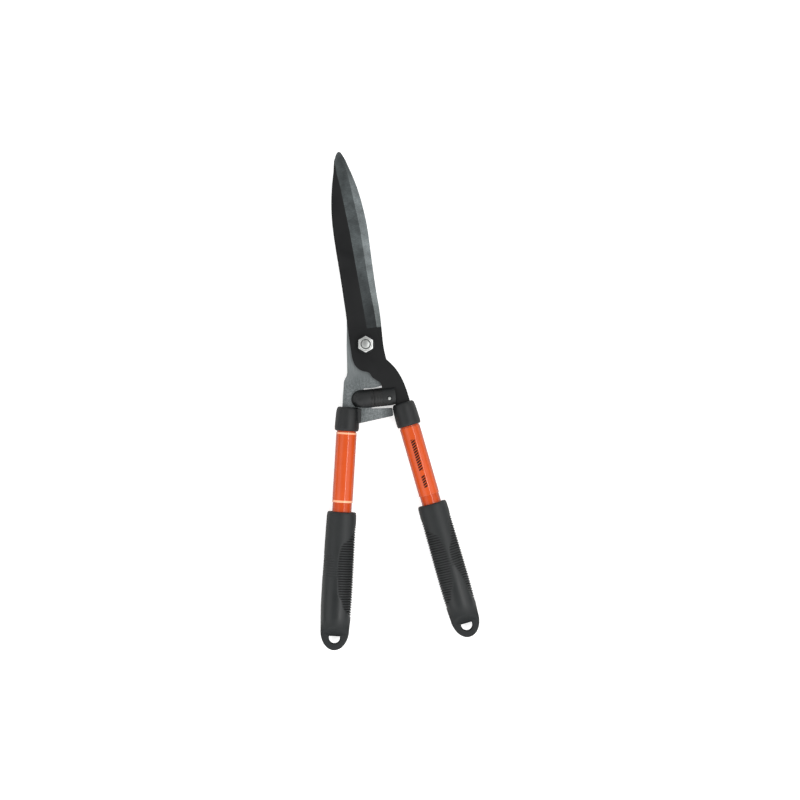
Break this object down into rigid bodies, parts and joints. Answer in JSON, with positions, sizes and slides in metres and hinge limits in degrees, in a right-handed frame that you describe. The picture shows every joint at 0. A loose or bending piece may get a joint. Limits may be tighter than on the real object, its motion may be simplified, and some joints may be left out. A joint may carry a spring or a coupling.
{
  "type": "grass shears",
  "caption": "Two-handed grass shears: a pair of long flat blades crossing on a nut and bolt, with tubular handles, rubber stops and ribbed grips.",
  "frame": {"origin": "on the pivot axis, at the flat underside of the bolt's head, which is the plane the closed shears lie on with both grips", "axes": "+Y from the pivot towards the blade tips, along the line midway between the closed handles; +X towards the right handle, seen with the nut facing the viewer; +Z out of the nut, square to the flat of the blades"},
  "size_m": [0.1786, 0.5559, 0.033],
  "materials": {
    "coated_steel": "blade steel with a black non-stick coating, thinned to dark grey on the ground facets",
    "ground_steel": "surface-ground blade steel, satin, faint grinding lines",
    "zinc": "bright zinc-plated steel fasteners",
    "spring_steel": "oil-blackened spring steel",
    "nylon": "nylon locking ring",
    "black_rubber": "moulded black rubber, matte",
    "grip_rubber": "soft moulded grip material, charcoal, satin with ribs",
    "black_plastic": "injection-moulded glass-filled nylon, charcoal",
    "natural_plastic": "natural moulded nylon",
    "orange_enamel": "stoved orange enamel on steel tube",
    "orange_film": "shrunk orange film with pale ends"
  },
  "bodies": {
    "back_half": {"back_blade": "ground_steel", "pivot_bolt": "zinc", "rear_washer": "zinc", "front_washer": "spring_steel", "pivot_nut": "zinc", "nut_lock_ring": "nylon", "stop_holder_left": "black_plastic", "stop_pad_left": "black_rubber", "ferrule_left": "black_plastic", "tang_sleeve_left": "natural_plastic", "tang_pin_left": "spring_steel", "handle_tube_left": "orange_enamel", "label_sleeve_left": "orange_film", "grip_left": "grip_rubber"},
    "front_half": {"front_blade": "coated_steel", "stop_holder_right": "black_plastic", "stop_pad_right": "black_rubber", "stop_rivet": "zinc", "ferrule_right": "black_plastic", "tang_sleeve_right": "natural_plastic", "tang_pin_right": "spring_steel", "handle_tube_right": "orange_enamel", "label_sleeve_right": "orange_film", "grip_right": "grip_rubber"}
  },
  "joints": [
    {"name": "blade_pivot", "type": "hinge", "parent": "back_half", "child": "front_half", "pos_m": [0, 0, 0], "axis": [0, 0, 1], "range_deg": [0, 70]}
  ]
}
